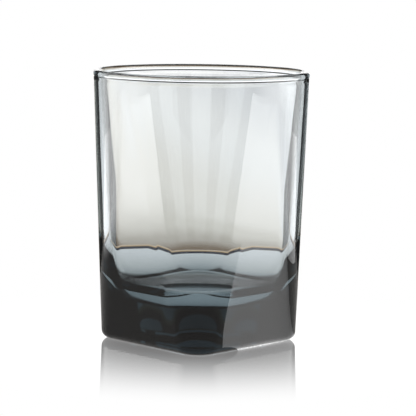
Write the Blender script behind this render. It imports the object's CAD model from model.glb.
"""Smoke-tinted whiskey tumbler with a square foot, on a pale floor in front of a bright backdrop.

The glass is one closed mesh, made of level rounded-square rings that run from the middle of the
underside, round the heel, up the wall, over the rim bead and down inside to the middle of the
floor. Metres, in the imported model's frame, +Z up.

The stage is not plain. Its cards are each seen by some kinds of ray only, so the floor that the
camera sees, the table that the glass refracts and the lights that it reflects are different cards.
"""

from math import cos, pi, radians, sin, sqrt

import bpy
import numpy as np
from mathutils import Matrix, Vector


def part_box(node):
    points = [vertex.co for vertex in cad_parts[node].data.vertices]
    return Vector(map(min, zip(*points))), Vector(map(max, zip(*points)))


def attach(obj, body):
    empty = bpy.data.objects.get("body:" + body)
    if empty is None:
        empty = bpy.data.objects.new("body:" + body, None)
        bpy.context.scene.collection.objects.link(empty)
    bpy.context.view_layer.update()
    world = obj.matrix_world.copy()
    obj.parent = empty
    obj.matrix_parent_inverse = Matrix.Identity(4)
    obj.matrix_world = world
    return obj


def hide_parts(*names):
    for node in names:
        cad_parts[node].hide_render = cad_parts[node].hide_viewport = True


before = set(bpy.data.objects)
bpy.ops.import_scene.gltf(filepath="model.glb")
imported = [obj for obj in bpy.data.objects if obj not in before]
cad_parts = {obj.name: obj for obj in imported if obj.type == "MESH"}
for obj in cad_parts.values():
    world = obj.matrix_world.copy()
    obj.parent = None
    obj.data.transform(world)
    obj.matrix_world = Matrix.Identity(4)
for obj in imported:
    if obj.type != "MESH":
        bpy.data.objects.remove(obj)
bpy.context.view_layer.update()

MM = 0.001

# Overall size of the glass, from the frame
glass_low, glass_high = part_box("tumbler_glass")
HEIGHT = glass_high.z - glass_low.z
RIM_RADIUS = (glass_high.x - glass_low.x) / 2

# Outer wall, as the half width across the flats and the corner radius of a rounded square
BASE_HALF = 29.1 * MM
BASE_CORNER = 9.8 * MM
HEEL_RADIUS = 3.0 * MM

# Rim bead: it joins the walls a little below its middle
BEAD_RADIUS = 1.5 * MM
BEAD_OVERHANG = 0.15 * MM
BEAD_JOIN = 1.2 * MM

# Cavity wall
WALL_AT_RIM = 2.4 * MM
WALL_AT_FLOOR = 2.8 * MM
CORNER_GROWTH = 1.5 * MM
FLOOR_HEIGHT = 16.0 * MM

# Bowl at the foot of the cavity, a squared-off ellipse in from the wall to the floor
BOWL_WIDTH = 13.0 * MM
BOWL_DEPTH = 28.0 * MM
BOWL_SQUARENESS = 2.6

# Underside
DISH_RADIUS = 23.5 * MM
DISH_DEPTH = 1.0 * MM
DOT_COUNT = 4
DOT_RADIUS = 0.9 * MM
DOT_RISE = 0.35 * MM
DOT_CIRCLE = 3.2 * MM
DOT_REACH = DOT_CIRCLE + 1.2 * DOT_RADIUS

BEAD_CENTRE_RADIUS = RIM_RADIUS - BEAD_RADIUS
BEAD_CENTRE_HEIGHT = HEIGHT - BEAD_RADIUS
OUTER_TOP_HALF = RIM_RADIUS - BEAD_OVERHANG

# Mesh density
POINTS_ROUND = 384
DOT_RINGS = 28
FLAT_RINGS = 14
LAND_RINGS = 5
HEEL_RINGS = 20
WALL_RINGS = 70
BEAD_RINGS = 40
BOWL_RINGS = 100

# Glass, with a slight ripple drawn out up the wall and a faint uneven polish
GLASS_IOR = 1.52
TINT_COLOR = (0.21, 0.32, 0.365, 1)
TINT_DENSITY = 95.0
RIPPLE_STRETCH = (1.0, 1.0, 0.3)
RIPPLE_SCALE = 70.0
RIPPLE_STRENGTH = 0.10
RIPPLE_HEIGHT = 0.0004
HAZE_SCALE = 220.0
HAZE_RANGE = (0.45, 0.75)
HAZE_ROUGHNESS = 0.02

# Camera, its place as distances to its right, away from it and up
AZIMUTH = pi / 4
PITCH, ROLL = 0.128094, 0.0130
SENSOR, LENS = 36.0, 174.014
CAMERA_PLACE = (3.07 * MM, -760.0 * MM, 148.1 * MM)

# Light levels below are stops of (place, red, green, blue)

# Backdrop behind the glass, by height
BACKDROP = [
    (-0.42, 0.05, 0.03, 0.02),
    (-0.26, 0.30, 0.22, 0.15),
    (-0.17, 0.66, 0.60, 0.52),
    (-0.11, 0.92, 0.87, 0.78),
    (-0.07, 1.12, 1.07, 0.99),
    (-0.01, 1.22, 1.20, 1.17),
    (0.05, 0.96, 0.96, 0.97),
    (0.11, 1.50, 1.50, 1.50),
]
BACKDROP_LEAN = 0.35
BACKDROP_DISTANCE = 0.9
BACKDROP_HEIGHTS = (-0.5, 0.3)
BACKDROP_WIDTH = 0.50

# Plain backlights at other angles, for the glass to refract
BACKLIGHT_TURNS = (45, 135, 180, 225, 315)
BACKLIGHT_WIDTH = 0.40
BACKLIGHT = [(0.0, 1.3, 1.3, 1.3), (1.0, 1.3, 1.3, 1.3)]

# Softboxes at the sides, which fade in front of and behind the glass
SOFTBOX = [(-0.40, 3.6, 3.6, 3.6), (0.6, 3.6, 3.6, 3.6)]
SOFTBOX_DISTANCE = 0.45
SOFTBOX_HEIGHTS = (-0.40, 0.6)

# Table that the glass refracts, by depth: bright in front, with a dark bar behind the middle
TABLE_TOP = [
    (-0.040, 1.40, 1.40, 1.40),
    (-0.004, 1.00, 1.00, 1.00),
    (0.003, 0.08, 0.08, 0.08),
    (0.017, 0.08, 0.08, 0.08),
    (0.030, 0.85, 0.87, 0.86),
    (0.120, 0.95, 0.98, 1.00),
]
TABLE_FRONT = 0.40

# The table's far edge as (side, depth), waved so that its lip shows as a wavy line in the wall
TABLE_EDGE = [
    (-0.40, 0.100),
    (-0.060, 0.096),
    (-0.040, 0.118),
    (-0.022, 0.128),
    (-0.010, 0.094),
    (0.010, 0.094),
    (0.022, 0.128),
    (0.040, 0.118),
    (0.060, 0.094),
    (0.40, 0.100),
]

# Lip along the far edge, by height
LIP = [
    (0.0, 0.02, 0.03, 0.06),
    (0.003, 0.02, 0.02, 0.03),
    (0.0045, 0.75, 0.52, 0.30),
    (0.006, 0.90, 0.75, 0.58),
]

# Table that the glass reflects: a dim sheet, two bright sweeps by distance and a card at the foot
TABLE_SHINE = [(0.0, 0.40, 0.39, 0.38), (1.0, 0.40, 0.39, 0.38)]
SWEEP_LEFT = [(0.145, 0.36, 0.36, 0.36), (0.225, 4.0, 4.0, 4.0), (0.60, 4.2, 4.2, 4.2)]
SWEEP_RIGHT = [(0.15, 1.9, 1.9, 1.9), (0.22, 3.4, 3.4, 3.4), (0.60, 4.2, 4.2, 4.2)]
SWEEP_END = 0.45
FAN_FRONT = 0.67
FAN_BACK = 0.60
BOUNCE = [(-0.032, 2.0, 2.0, 2.0), (-0.014, 2.0, 2.0, 2.0), (0.005, 1.0, 1.0, 1.0)]

# Heights of the level cards, just under the foot
FLOOR_LEVEL = -0.0002
SWEEP_LEVEL = -0.0002
BOUNCE_LEVEL = -0.00025
TABLE_LEVEL = -0.0003
SHINE_LEVEL = -0.0004

# Floor that the camera sees: its shine fades out between two distances from the axis
FLOOR_HALF = 1.5
FLOOR_SHINE = 0.85
FLOOR_SHINE_RANGE = (0.020, 0.115)
FLOOR_ROUGHNESS = 0.06

# What the room sends to the glass, next to 1.0 to the camera
ROOM_LEVEL = 0.04

toward = Vector((sin(AZIMUTH), -cos(AZIMUTH), 0))
right = Vector((cos(AZIMUTH), sin(AZIMUTH), 0))
up = Vector((0, 0, 1))


def at(side, depth, height):
    """A point given as distances to the camera's right, away from the camera and up."""
    return right * side - toward * depth + up * height


def rounded_square_radius(angle, half_width, corner_radius):
    """Distance from the axis to a rounded square, in the direction of each angle."""
    quarter = np.mod(angle + pi / 4, pi / 2) - pi / 4
    across = np.abs(np.tan(quarter)) * half_width
    straight = half_width - corner_radius
    on_flat = half_width / np.cos(quarter)
    reach = straight * (np.cos(quarter) + np.abs(np.sin(quarter)))
    past = np.sqrt(np.maximum(reach**2 - 2 * straight**2 + corner_radius**2, 0))
    return np.where(across <= straight, on_flat, reach + past)


def outer_section(height):
    """Half width and corner radius of the outer wall, which ends in a circle at the bead."""
    share = height / BEAD_CENTRE_HEIGHT
    half = BASE_HALF + (OUTER_TOP_HALF - BASE_HALF) * share
    corner = BASE_CORNER + (OUTER_TOP_HALF - BASE_CORNER) * share
    return half, corner


def cavity_section(height):
    """The outer wall set in by the thickness of the glass, which grows towards the floor."""
    half, corner = outer_section(height)
    share = (BEAD_CENTRE_HEIGHT - height) / (BEAD_CENTRE_HEIGHT - FLOOR_HEIGHT)
    wall = WALL_AT_RIM + (WALL_AT_FLOOR - WALL_AT_RIM) * share
    return half - wall, corner - wall + CORNER_GROWTH * share


def dish_height(radius):
    """Height of the dished underside at a distance from its middle."""
    ball = (DISH_RADIUS**2 + DISH_DEPTH**2) / (2 * DISH_DEPTH)
    return max(DISH_DEPTH - ball + sqrt(ball**2 - radius**2), 0.0)


def dots_height(x, y):
    """Height of the raised dots of the underside, and the top of the dish away from them."""
    ball = (DOT_RADIUS**2 + DOT_RISE**2) / (2 * DOT_RISE)
    height = np.full_like(x, DISH_DEPTH)
    for index in range(DOT_COUNT):
        angle = 2 * pi * index / DOT_COUNT
        off = (x - DOT_CIRCLE * cos(angle)) ** 2 + (y - DOT_CIRCLE * sin(angle)) ** 2
        cap = DISH_DEPTH - DOT_RISE + ball - np.sqrt(np.maximum(ball**2 - off, 0))
        height = np.minimum(height, cap)
    return height


def underside_rings():
    """The dish and the flat land round it, from the middle out."""
    made = []
    inner = np.linspace(0, DOT_REACH, DOT_RINGS)[1:]
    outer = np.linspace(DOT_REACH, DISH_RADIUS, FLAT_RINGS)[1:]
    for radius in (*inner, *outer):
        made.append((radius, radius, dish_height(radius)))
    land_half, land_corner = BASE_HALF - HEEL_RADIUS, BASE_CORNER - HEEL_RADIUS
    for share in np.linspace(0, 1, LAND_RINGS)[1:]:
        half = DISH_RADIUS + (land_half - DISH_RADIUS) * share
        corner = DISH_RADIUS + (land_corner - DISH_RADIUS) * share
        made.append((half, corner, 0.0))
    return made


def outside_rings():
    """The rounded heel and the outer wall, from the land up."""
    made = []
    for turn in np.linspace(0, pi / 2, HEEL_RINGS)[1:]:
        height = HEEL_RADIUS * (1 - cos(turn))
        half, corner = outer_section(height)
        inset = HEEL_RADIUS * (1 - sin(turn))
        made.append((half - inset, corner - inset, height))
    for height in np.linspace(HEEL_RADIUS, BEAD_CENTRE_HEIGHT - BEAD_JOIN, WALL_RINGS)[1:]:
        made.append((*outer_section(height), height))
    return made


def bead_rings():
    """The rim bead, from the outer wall over the top to the cavity."""
    made = []
    for turn in np.linspace(-0.25 * pi, 1.25 * pi, BEAD_RINGS):
        radius = BEAD_CENTRE_RADIUS + BEAD_RADIUS * cos(turn)
        height = BEAD_CENTRE_HEIGHT + BEAD_RADIUS * sin(turn)
        if turn < 0:
            radius = max(radius, outer_section(height)[0])
        if turn > pi:
            radius = min(radius, cavity_section(height)[0])
        made.append((radius, radius, height))
    return made


def cavity_rings():
    """The cavity's wall, its bowl and its flat floor, from the bead down to the middle."""
    made = []
    bowl_top = FLOOR_HEIGHT + BOWL_DEPTH
    power = 2 / BOWL_SQUARENESS
    for height in np.linspace(BEAD_CENTRE_HEIGHT - BEAD_JOIN, bowl_top, WALL_RINGS):
        made.append((*cavity_section(height), height))
    for turn in np.linspace(0, pi / 2, BOWL_RINGS)[1:]:
        height = bowl_top - BOWL_DEPTH * sin(turn) ** power
        half, corner = cavity_section(height)
        inset = BOWL_WIDTH * (1 - abs(cos(turn)) ** power)
        made.append((half - inset, corner, height))
    floor_half, floor_corner = made[-1][:2]
    for share in np.linspace(1, 0, FLAT_RINGS + 1)[1:-1]:
        made.append((floor_half * share, floor_corner * share, FLOOR_HEIGHT))
    return made


def glass_points(stack):
    """The points of every ring, given as (half width, corner radius, height)."""
    angles = np.linspace(0, 2 * pi, POINTS_ROUND, endpoint=False)
    points = []
    for half, corner, height in stack:
        radius = rounded_square_radius(angles, half, corner)
        x, y, z = radius * np.cos(angles), radius * np.sin(angles), np.full_like(angles, height)
        if half < DISH_RADIUS and height <= DISH_DEPTH:
            z = np.minimum(z, dots_height(x, y))
        points.append(np.stack([x, y, z], 1))
    return np.concatenate(points).tolist()


def build_glass():
    """The whole tumbler as one closed mesh."""
    stack = underside_rings() + outside_rings() + bead_rings() + cavity_rings()
    vertices = glass_points(stack)
    faces = []
    for ring in range(len(stack) - 1):
        low, high = ring * POINTS_ROUND, (ring + 1) * POINTS_ROUND
        for i in range(POINTS_ROUND):
            j = (i + 1) % POINTS_ROUND
            faces.append((low + i, low + j, high + j, high + i))
    underside, floor = len(vertices), len(vertices) + 1
    vertices.append((0, 0, DISH_DEPTH))
    vertices.append((0, 0, FLOOR_HEIGHT))
    last = (len(stack) - 1) * POINTS_ROUND
    for i in range(POINTS_ROUND):
        j = (i + 1) % POINTS_ROUND
        faces.append((underside, j, i))
        faces.append((floor, last + i, last + j))
    mesh = bpy.data.meshes.new("tumbler")
    mesh.from_pydata(vertices, [], faces)
    mesh.update()
    mesh.shade_smooth()
    piece = bpy.data.objects.new("tumbler", mesh)
    bpy.context.scene.collection.objects.link(piece)
    return piece


def smoke_glass():
    """Body-tinted glass: clear and polished at the surface, grey through its thickness."""
    material = bpy.data.materials.new("smoke_glass")
    material.use_nodes = True
    nodes, links = material.node_tree.nodes, material.node_tree.links
    shader = nodes["Principled BSDF"]
    shader.inputs["Base Color"].default_value = (1, 1, 1, 1)
    shader.inputs["IOR"].default_value = GLASS_IOR
    shader.inputs["Transmission Weight"].default_value = 1.0
    place = nodes.new("ShaderNodeTexCoord")
    stretch = nodes.new("ShaderNodeMapping")
    stretch.inputs["Scale"].default_value = RIPPLE_STRETCH
    waves = nodes.new("ShaderNodeTexNoise")
    waves.inputs["Scale"].default_value = RIPPLE_SCALE
    waves.inputs["Detail"].default_value = 1.0
    ripple = nodes.new("ShaderNodeBump")
    ripple.inputs["Strength"].default_value = RIPPLE_STRENGTH
    ripple.inputs["Distance"].default_value = RIPPLE_HEIGHT
    haze = nodes.new("ShaderNodeTexNoise")
    haze.inputs["Scale"].default_value = HAZE_SCALE
    polish = nodes.new("ShaderNodeMapRange")
    polish.inputs["From Min"].default_value = HAZE_RANGE[0]
    polish.inputs["From Max"].default_value = HAZE_RANGE[1]
    polish.inputs["To Min"].default_value = 0.0
    polish.inputs["To Max"].default_value = HAZE_ROUGHNESS
    tint = nodes.new("ShaderNodeVolumeAbsorption")
    tint.inputs["Color"].default_value = TINT_COLOR
    tint.inputs["Density"].default_value = TINT_DENSITY
    links.new(place.outputs["Object"], stretch.inputs["Vector"])
    links.new(stretch.outputs["Vector"], waves.inputs["Vector"])
    links.new(waves.outputs[0], ripple.inputs["Height"])
    links.new(ripple.outputs["Normal"], shader.inputs["Normal"])
    links.new(place.outputs["Object"], haze.inputs["Vector"])
    links.new(haze.outputs[0], polish.inputs["Value"])
    links.new(polish.outputs[0], shader.inputs["Roughness"])
    links.new(tint.outputs["Volume"], nodes["Material Output"].inputs["Volume"])
    return material


def build_camera():
    """The scene's camera, looking down at the glass over one corner of its foot."""
    data = bpy.data.cameras.new("camera")
    data.sensor_width = SENSOR
    data.lens = LENS
    data.clip_start, data.clip_end = 0.01, 20
    camera = bpy.data.objects.new("camera", data)
    bpy.context.scene.collection.objects.link(camera)
    bpy.context.scene.camera = camera
    camera.location = at(*CAMERA_PLACE)
    look = (-toward * cos(PITCH) - up * sin(PITCH)).normalized()
    camera_up = (up * cos(PITCH) - toward * sin(PITCH)).normalized()
    basis = Matrix((right, camera_up, -look)).transposed()
    camera.rotation_mode = "QUATERNION"
    camera.rotation_quaternion = (basis @ Matrix.Rotation(ROLL, 3, "Z")).to_quaternion()


def new_material(name):
    """An empty node material, with its nodes and links."""
    material = bpy.data.materials.new(name)
    material.use_nodes = True
    material.node_tree.nodes.clear()
    return material, material.node_tree.nodes, material.node_tree.links


def paint_ramp(color_ramp, stops, brightest):
    """Sets a ramp's stops, spread from the first value to the last and scaled to the brightest."""
    first, last = stops[0][0], stops[-1][0]
    while len(color_ramp.elements) < len(stops):
        color_ramp.elements.new(0.5)
    for element, stop in zip(color_ramp.elements, stops):
        element.color = (*[level / brightest for level in stop[1:]], 1)
    for element, stop in zip(color_ramp.elements, stops):
        element.position = (stop[0] - first) / (last - first)


def feather_light(nodes, links, place, light, brightest, feather):
    """Dims a light between two distances in front of and behind the glass."""
    depth = nodes.new("ShaderNodeVectorMath")
    depth.operation = "DOT_PRODUCT"
    depth.inputs[1].default_value = tuple(toward)
    offset = nodes.new("ShaderNodeMath")
    offset.operation = "ABSOLUTE"
    dim = nodes.new("ShaderNodeMapRange")
    dim.interpolation_type = "SMOOTHSTEP"
    dim.inputs["From Min"].default_value = feather[0]
    dim.inputs["From Max"].default_value = feather[1]
    dim.inputs["To Min"].default_value = brightest
    dim.inputs["To Max"].default_value = 0.0
    links.new(place.outputs["Object"], depth.inputs[0])
    links.new(depth.outputs["Value"], offset.inputs[0])
    links.new(offset.outputs[0], dim.inputs["Value"])
    links.new(dim.outputs[0], light.inputs["Strength"])


def glow(name, stops, follow=up, feather=None):
    """Light whose colour follows the place along a direction, with a (full, gone) feather if any."""
    material, nodes, links = new_material(name)
    output = nodes.new("ShaderNodeOutputMaterial")
    light = nodes.new("ShaderNodeEmission")
    brightest = max(max(stop[1:]) for stop in stops)
    light.inputs["Strength"].default_value = brightest
    place = nodes.new("ShaderNodeTexCoord")
    if feather:
        feather_light(nodes, links, place, light, brightest, feather)
    along = nodes.new("ShaderNodeVectorMath")
    along.operation = "DOT_PRODUCT"
    along.inputs[1].default_value = tuple(follow)
    share = nodes.new("ShaderNodeMapRange")
    share.inputs["From Min"].default_value = stops[0][0]
    share.inputs["From Max"].default_value = stops[-1][0]
    ramp = nodes.new("ShaderNodeValToRGB")
    ramp.color_ramp.interpolation = "EASE"
    paint_ramp(ramp.color_ramp, stops, brightest)
    links.new(place.outputs["Object"], along.inputs[0])
    links.new(along.outputs["Value"], share.inputs["Value"])
    links.new(share.outputs[0], ramp.inputs[0])
    links.new(ramp.outputs[0], light.inputs["Color"])
    links.new(light.outputs[0], output.inputs["Surface"])
    return material


def floor_paint():
    """White floor with a shine that fades away from the foot of the glass."""
    material, nodes, links = new_material("floor")
    output = nodes.new("ShaderNodeOutputMaterial")
    mix = nodes.new("ShaderNodeMixShader")
    light = nodes.new("ShaderNodeEmission")
    gloss = nodes.new("ShaderNodeBsdfGlossy")
    place = nodes.new("ShaderNodeTexCoord")
    reach = nodes.new("ShaderNodeVectorMath")
    reach.operation = "LENGTH"
    fade = nodes.new("ShaderNodeMapRange")
    fade.interpolation_type = "SMOOTHSTEP"
    fade.inputs["From Min"].default_value = FLOOR_SHINE_RANGE[0]
    fade.inputs["From Max"].default_value = FLOOR_SHINE_RANGE[1]
    fade.inputs["To Min"].default_value = FLOOR_SHINE
    fade.inputs["To Max"].default_value = 0.0
    light.inputs["Strength"].default_value = 1.0
    gloss.inputs["Roughness"].default_value = FLOOR_ROUGHNESS
    links.new(place.outputs["Object"], reach.inputs[0])
    links.new(reach.outputs["Value"], fade.inputs["Value"])
    links.new(fade.outputs[0], mix.inputs[0])
    links.new(light.outputs[0], mix.inputs[1])
    links.new(gloss.outputs[0], mix.inputs[2])
    links.new(mix.outputs[0], output.inputs["Surface"])
    return material


def stage_card(name, points, faces, material, seen_by):
    """A flat-faced stage piece, seen only by the named kinds of ray."""
    mesh = bpy.data.meshes.new(name)
    mesh.from_pydata([tuple(point) for point in points], [], faces)
    mesh.materials.append(material)
    made = bpy.data.objects.new(name, mesh)
    bpy.context.scene.collection.objects.link(made)
    made.visible_camera = "camera" in seen_by
    made.visible_glossy = "glossy" in seen_by
    made.visible_transmission = "transmission" in seen_by
    made.visible_diffuse = False
    made.visible_shadow = False


def four_cornered(name, corners, material, seen_by):
    """A stage card with four corners in order."""
    stage_card(name, corners, [(0, 1, 2, 3)], material, seen_by)


def strip(name, one_side, other_side, material, seen_by):
    """A stage card made of quads between two rows of points."""
    count = len(one_side)
    faces = [(i, i + 1, count + i + 1, count + i) for i in range(count - 1)]
    stage_card(name, one_side + other_side, faces, material, seen_by)


def upright(name, turn, distance, width, heights, material, seen_by):
    """A card facing the glass, turned from straight behind it by turn degrees to the right."""
    out = -toward * cos(radians(turn)) + right * sin(radians(turn))
    across = up.cross(out) * width / 2
    low, high = (up * height for height in heights)
    foot = out * distance
    corners = [foot - across + low, foot + across + low, foot + across + high, foot - across + high]
    four_cornered(name, corners, material, seen_by)


def level_card(name, sides, depths, height, material, seen_by):
    """A level card between two distances to the camera's right and two depths."""
    (left_side, right_side), (near, far) = sides, depths
    corners = [
        at(left_side, near, height),
        at(right_side, near, height),
        at(right_side, far, height),
        at(left_side, far, height),
    ]
    four_cornered(name, corners, material, seen_by)


def sweep(name, hand, near, far, material, seen_by):
    """A level card that widens away from the glass, to its left (-1) or right (1)."""
    corners = [
        at(hand * near, -FAN_FRONT * near, SWEEP_LEVEL),
        at(hand * far, -FAN_FRONT * far, SWEEP_LEVEL),
        at(hand * far, FAN_BACK * far, SWEEP_LEVEL),
        at(hand * near, FAN_BACK * near, SWEEP_LEVEL),
    ]
    four_cornered(name, corners, material, seen_by)


def build_refracted_table():
    """The table top and the low lip along its far edge, as the glass refracts them."""
    near = [at(side, -TABLE_FRONT, TABLE_LEVEL) for side, depth in TABLE_EDGE]
    far = [at(side, depth, TABLE_LEVEL) for side, depth in TABLE_EDGE]
    strip("table", near, far, glow("table_top", TABLE_TOP, -toward), {"transmission"})
    foot = [at(side, depth, 0.0) for side, depth in TABLE_EDGE]
    top = [at(side, depth, LIP[-1][0]) for side, depth in TABLE_EDGE]
    strip("table_lip", foot, top, glow("table_lip", LIP), {"transmission"})


def build_reflected_table():
    """The table as the glass reflects it."""
    seen_by = {"glossy"}
    shine = glow("table_shine", TABLE_SHINE)
    level_card("table_shine", (-1.2, 1.2), (-1.5, 0.126), SHINE_LEVEL, shine, seen_by)
    sweep("sweep_left", -1, 0.12, SWEEP_END, glow("sweep_left", SWEEP_LEFT, -right), seen_by)
    sweep("sweep_right", 1, 0.15, SWEEP_END, glow("sweep_right", SWEEP_RIGHT, right), seen_by)
    bounce = glow("bounce_right", BOUNCE, -toward)
    level_card("bounce_right", (0.015, 0.40), (-0.032, 0.005), BOUNCE_LEVEL, bounce, seen_by)


def build_lights():
    """The graded backdrop, the softboxes at the sides and the plain backlights all round."""
    graded = glow("backlight", BACKDROP, up + right * BACKDROP_LEAN)
    seen_by = {"transmission", "glossy"}
    upright("backlight", 0, BACKDROP_DISTANCE, BACKDROP_WIDTH, BACKDROP_HEIGHTS, graded, seen_by)
    for name, turn, width, feather in (
        ("softbox_left", -90, 0.90, (0.08, 0.45)),
        ("softbox_right", 90, 0.80, (0.08, 0.40)),
    ):
        soft = glow(name, SOFTBOX, up, feather)
        upright(name, turn, SOFTBOX_DISTANCE, width, SOFTBOX_HEIGHTS, soft, {"glossy"})
    seen_by = {"transmission"}
    for turn in BACKLIGHT_TURNS:
        name = "backlight_%d" % turn
        even = glow(name, BACKLIGHT)
        upright(name, turn, BACKDROP_DISTANCE, BACKLIGHT_WIDTH, BACKDROP_HEIGHTS, even, seen_by)


def build_room():
    """A room that is white to the camera and nearly dark to the glass."""
    world = bpy.data.worlds.new("room")
    bpy.context.scene.world = world
    world.use_nodes = True
    nodes, links = world.node_tree.nodes, world.node_tree.links
    sky = nodes["Background"]
    sky.inputs["Color"].default_value = (1, 1, 1, 1)
    rays = nodes.new("ShaderNodeLightPath")
    shade = nodes.new("ShaderNodeMapRange")
    shade.inputs["To Min"].default_value = ROOM_LEVEL
    shade.inputs["To Max"].default_value = 1.0
    links.new(rays.outputs["Is Camera Ray"], shade.inputs["Value"])
    links.new(shade.outputs[0], sky.inputs["Strength"])


build_camera()

glass = build_glass()
glass.data.materials.append(smoke_glass())
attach(glass, "root")
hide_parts("tumbler_glass")

floor_span = (-FLOOR_HALF, FLOOR_HALF)
level_card("floor", floor_span, floor_span, FLOOR_LEVEL, floor_paint(), {"camera"})
build_refracted_table()
build_reflected_table()
build_lights()
build_room()

scene = bpy.context.scene
scene.view_settings.view_transform = "Standard"
scene.cycles.max_bounces = 32
scene.cycles.transmission_bounces = 24
scene.cycles.glossy_bounces = 16
scene.cycles.transparent_max_bounces = 16
